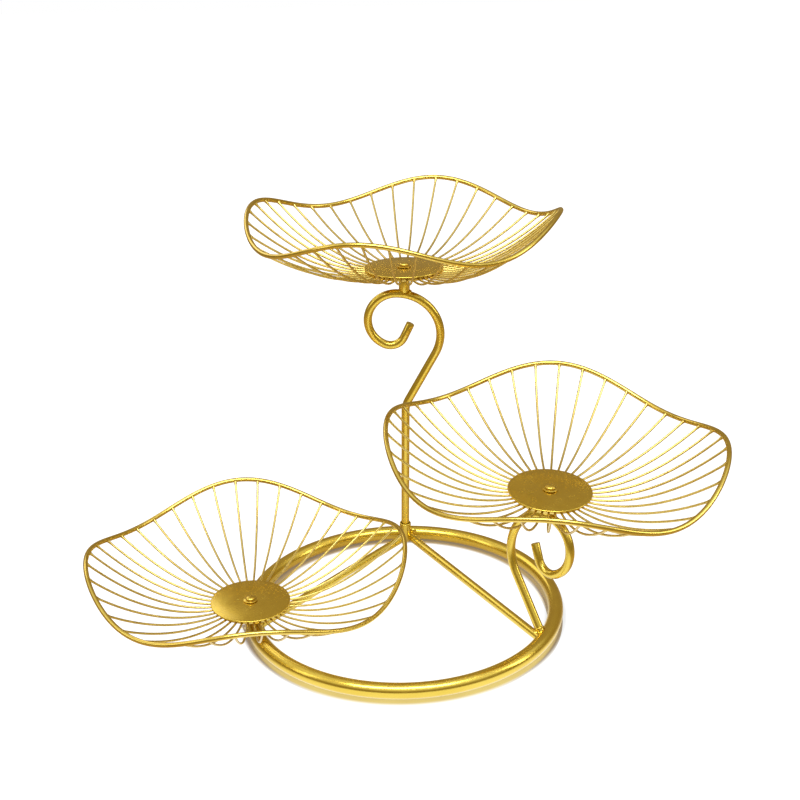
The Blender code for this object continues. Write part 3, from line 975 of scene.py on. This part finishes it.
# %% The golds: light tone, deep tone, roughness, size of the clouds, depth of the scratches
GOLDS = {
    "ring": ((0.80, 0.60, 0.095), (0.72, 0.51, 0.060), (0.19, 0.25), 18, 0.02),
    "rod": ((0.78, 0.59, 0.095), (0.68, 0.49, 0.060), (0.22, 0.27), 30, 0.008),
    "rim": ((0.78, 0.59, 0.120), (0.66, 0.47, 0.075), (0.18, 0.25), 36, 0.02),
    "wire": ((0.74, 0.57, 0.160), (0.61, 0.46, 0.110), (0.26, 0.36), 60, 0.03),
    "plate": ((0.78, 0.57, 0.085), (0.71, 0.50, 0.060), (0.22, 0.28), 40, 0.008),
    "screw": ((0.76, 0.55, 0.090), (0.62, 0.43, 0.060), (0.22, 0.34), 120, 0.05),
}
finishes = {name + "_gold": gold_finish(name + " gold", *look) for name, look in GOLDS.items()}
print("finishes", sorted(finishes))

# %% [markdown]
# ## Every piece on its body
# A piece rides on the body that it moves with, takes the finish of its slot and stands for
# the solid that it was modelled over. A screw and its washer stay with the post when their
# bowl turns. The beads stand for no solid of their own, and ride with the rod they are on.

# %% Put the pieces on
HOLDER = {"top": "top_stem", "middle": "stand", "low": "stand"}


def fit(piece, body, slot, *nodes):
    piece.data.materials.clear()
    piece.data.materials.append(finishes[slot])
    for face in piece.data.polygons:
        face.material_index = 0
    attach(piece, body)
    if nodes:
        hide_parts(*nodes)


fit(base_ring, "stand", "ring_gold", "base_ring")
fit(back_socket, "stand", "rod_gold", "back_socket")
for name, bar in bars.items():
    fit(bar, "stand", "rod_gold", name)
fit(top_rod, "top_stem", "rod_gold", "top_stem")
fit(middle_rod, "stand", "rod_gold", "middle_stem")
for tier in BOWLS:
    body = tier + "_bowl"
    fit(bosses[tier], HOLDER[tier], "rod_gold", tier + "_boss")
    fit(rims[tier], body, "rim_gold", body + "_rim")
    fit(sprays[tier], body, "wire_gold", body + "_wires")
    fit(turned_pieces[body + "_disc"], body, "plate_gold", body + "_plate")
    fit(turned_pieces[body + "_disc_washer"], HOLDER[tier], "screw_gold", body + "_washer")
    fit(turned_pieces[body + "_disc_screw"], HOLDER[tier], "screw_gold", body + "_screw")
for piece in stand_beads:
    fit(piece, "stand", "rod_gold")
for piece in top_beads:
    fit(piece, "top_stem", "rod_gold")
print("pieces fitted")

# %% [markdown]
# ## The table
# Polished metal has hardly any colour of its own: it shows the room, tinted gold. So the
# table is made for two viewers. The metal sees a pool of light painted in front of the basket,
# in the table's colour and a weak glow, that falls off to a dim, warm painted shade, and a
# colour dimmer still where the table is seen flat: a painted reflection of the far end of a
# room, in place of a glossy table's real one. Without something dark around it, polished metal
# looks like paint. The camera sees plain white, which the next two cells add.

# %% Table, and the painted light on it that the metal sees
POOL_PLACE = (0.015, -0.22)
POOL_SQUEEZE = 1.7  # the pool is that much narrower along X
POOL_EDGE = (0.14, 0.37)
# Painted light on the table, for the metal only: a painted pool of light, the painted dim shade
# round it, and a painted reflection of a far room where the table is seen flat.
POOL_LIGHT, POOL_DIM = (0.95, 0.94, 0.90, 1.0), (0.36, 0.26, 0.12, 1.0)
FLAT_VIEW, PAINTED_FAR_REFLECTION = (0.54, 0.78), (0.26, 0.19, 0.08, 1.0)

clear_selection()
bpy.ops.mesh.primitive_plane_add(size=12.0)
table = bpy.context.object
table.name = "table"
surface = bpy.data.materials.new("white table")
surface.use_nodes = True
tree = surface.node_tree
place = tree.nodes.new("ShaderNodeTexCoord")


def distance_from(x, y, squeeze=1.0):
    """How far a point of the table is from (x, y), with steps along X counted squeeze times."""
    shift = tree.nodes.new("ShaderNodeMapping")
    shift.inputs["Scale"].default_value = (squeeze, 1.0, 1.0)
    shift.inputs["Location"].default_value = (-x * squeeze, -y, 0.0)
    tree.links.new(place.outputs["Object"], shift.inputs["Vector"])
    distance = tree.nodes.new("ShaderNodeVectorMath")
    distance.operation = "LENGTH"
    tree.links.new(shift.outputs["Vector"], distance.inputs[0])
    return distance.outputs["Value"]


# Painted pool of light and painted reflection: the colour goes dim outside the pool, and darker
# still where the table is seen flat.
outside_painted_pool = ranged(tree, distance_from(*POOL_PLACE, POOL_SQUEEZE), *POOL_EDGE)
slant = tree.nodes.new("ShaderNodeLayerWeight")
painted_reflection_share = ranged(tree, slant.outputs["Facing"], *FLAT_VIEW)
tint = tinted(tree, painted_reflection_share, tinted(tree, outside_painted_pool, POOL_LIGHT, POOL_DIM), PAINTED_FAR_REFLECTION)
shader = tree.nodes["Principled BSDF"]
shader.inputs["Roughness"].default_value = 0.4
shader.inputs["Specular IOR Level"].default_value = 0.2
# The painted light colours also glow a little, though the table is no lamp.
shader.inputs["Emission Strength"].default_value = 0.25
tree.links.new(tint, shader.inputs["Base Color"])
tree.links.new(tint, shader.inputs["Emission Color"])
table.data.materials.append(surface)
print("table", round(table.dimensions.x, 1), "m wide")

# %% [markdown]
# ## The white that the camera sees
# For the camera the table is nearly all light, with a little plain white mixed in that takes
# the faintest shadow. Close to the ring it is polished, which shows the ring's own reflection
# as a thin gold strip, and the polish fades within a few millimetres. The metal sees this
# white too, inside the painted pool of light, but never the polish, which would mirror itself.

# %% White with a polished band by the ring
LIGHT_SHARE = 0.93
BAND_EDGE = (7.0 * MM, 13.0 * MM)
BAND_SHINE = 0.9

glow = tree.nodes.new("ShaderNodeEmission")
glow.inputs["Strength"].default_value = 1.25
white = tree.nodes.new("ShaderNodeBsdfDiffuse")
white.inputs["Color"].default_value = (0.95, 0.95, 0.95, 1.0)
seen = blended(tree, LIGHT_SHARE, white.outputs["BSDF"], glow.outputs["Emission"])

path = tree.nodes.new("ShaderNodeLightPath")
off_ring = figured(tree, "SUBTRACT", distance_from(RING_CENTRE.x, RING_CENTRE.y), RING_RADIUS)
fade = ranged(tree, figured(tree, "ABSOLUTE", off_ring), *BAND_EDGE, BAND_SHINE, 0.0)
polished = figured(tree, "MULTIPLY", fade, path.outputs["Is Camera Ray"])
mirror = tree.nodes.new("ShaderNodeBsdfGlossy")
mirror.inputs["Roughness"].default_value = 0.0
polish = blended(tree, polished, seen, mirror.outputs["BSDF"])
print("polished band", round(BAND_EDGE[1] / MM), "mm to each side of the ring's line")

# %% Each viewer's share of the white
# Inside the painted pool of light the metal sees the white glow; outside it, the painted dim
# colour.
lit = figured(tree, "SUBTRACT", 1.0, outside_painted_pool)
in_metal = figured(tree, "MULTIPLY", path.outputs["Is Glossy Ray"], lit)
clear_view = figured(
    tree, "MAXIMUM", path.outputs["Is Camera Ray"], path.outputs["Is Transmission Ray"]
)
shows_white = figured(tree, "MAXIMUM", clear_view, in_metal)
both = blended(tree, shows_white, shader.outputs["BSDF"], polish)
tree.links.new(both, tree.nodes["Material Output"].inputs["Surface"])
print("table nodes", len(tree.nodes))

# %% [markdown]
# ## The room
# The room is the world's background, coloured by direction. It goes from a warm dimness at
# eye height to a near white ceiling, and the wall behind the basket is warm and dim as well.
# Together they give the plating its light and dark bands. The camera, and a sharp mirror, see
# plain white instead.

# %% Room, by the height and depth of a direction
FLOOR_LIGHT, ZENITH_LIGHT = (0.33, 0.26, 0.12, 1.0), (0.80, 0.79, 0.76, 1.0)
HEIGHTS = (
    (0.32, (0.36, 0.29, 0.14, 1.0)),
    (0.46, (0.53, 0.47, 0.34, 1.0)),
    (0.60, (0.92, 0.90, 0.84, 1.0)),
    (0.80, (1.0, 0.99, 0.96, 1.0)),
)
BACK_WALL, WALL_EDGE, WALL_SHARE = (0.36, 0.27, 0.12, 1.0), (0.25, 0.60), 0.9

world = bpy.data.worlds.new("studio")
bpy.context.scene.world = world
world.use_nodes = True
tree = world.node_tree
where = tree.nodes.new("ShaderNodeTexCoord")
parts = tree.nodes.new("ShaderNodeSeparateXYZ")
tree.links.new(where.outputs["Generated"], parts.inputs["Vector"])
heights = tree.nodes.new("ShaderNodeValToRGB")
steps = heights.color_ramp.elements
steps[0].position, steps[0].color = 0.0, FLOOR_LIGHT
steps[1].position, steps[1].color = 1.0, ZENITH_LIGHT
for position, colour in HEIGHTS:
    steps.new(position).color = colour
tree.links.new(parts.outputs["Z"], heights.inputs["Fac"])
behind = ranged(tree, parts.outputs["Y"], *WALL_EDGE, 0.0, WALL_SHARE)
walls = tinted(tree, behind, heights.outputs["Color"], BACK_WALL)
room = tree.nodes["Background"]
tree.links.new(walls, room.inputs["Color"])
white = tree.nodes.new("ShaderNodeBackground")
white.inputs["Color"].default_value = (1.0, 1.0, 1.0, 1.0)
path = tree.nodes.new("ShaderNodeLightPath")
straight = figured(
    tree, "MAXIMUM", path.outputs["Is Camera Ray"], path.outputs["Is Singular Ray"]
)
both = blended(tree, straight, room.outputs["Background"], white.outputs["Background"])
tree.links.new(both, tree.nodes["World Output"].inputs["Surface"])
print("room colours", len(steps))

# %% [markdown]
# ## Lamps
# A studio lights metal with broad panels, because a small lamp would leave only a hard spark
# on each wire. A wide panel under the ceiling in front does most of the work and draws the
# long soft highlight on top of the ring and the scrolls. Three weak ones, behind and on both
# sides, give the rods their second, thinner line of light.

# %% Lamps


def softbox(name, size, power, place, target):
    lamp = bpy.data.lights.new(name, "AREA")
    lamp.shape = "RECTANGLE"
    lamp.size, lamp.size_y = size
    lamp.energy = power
    holder = bpy.data.objects.new(name, lamp)
    bpy.context.collection.objects.link(holder)
    holder.location = place
    holder.rotation_euler = (Vector(target) - Vector(place)).to_track_quat("-Z", "Y").to_euler()


softbox("front ceiling panel", (1.5, 0.5), 23, (0.0, -0.70, 1.55), (0, 0, 0.1))
softbox("back left panel", (1.2, 0.7), 3.5, (-1.0, 1.1, 1.15), (0, 0, 0.1))
softbox("left panel", (0.4, 0.9), 2, (-1.5, -0.5, 0.9), (0, 0, 0.15))
softbox("right panel", (0.3, 0.8), 3, (1.5, -0.2, 0.8), (0, 0, 0.15))
print("lamps", [lamp.name for lamp in bpy.data.lights])

# %% [markdown]
# ## Camera
# The camera looks down on the basket from the front, with a slight roll. Its picture is
# shifted up a little: a shift moves the frame without turning the camera, as a crop does, so
# it changes where the basket stands in the picture and not how it is seen.

# %% Camera
CAMERA_PLACE = RING_CENTRE + Vector((9.17, -953.1, 579.54)) * MM
CAMERA_TURN = (64.563, 1.203, 0.006)
lens = bpy.data.cameras.new("camera")
lens.sensor_width = 36
lens.lens = 56.475
lens.shift_y = 0.1
camera = bpy.data.objects.new("camera", lens)
bpy.context.collection.objects.link(camera)
camera.location = CAMERA_PLACE
camera.rotation_euler = [math.radians(angle) for angle in CAMERA_TURN]
bpy.context.scene.camera = camera
bpy.context.scene.view_settings.view_transform = "Standard"
print("camera", [round(v, 3) for v in CAMERA_PLACE])
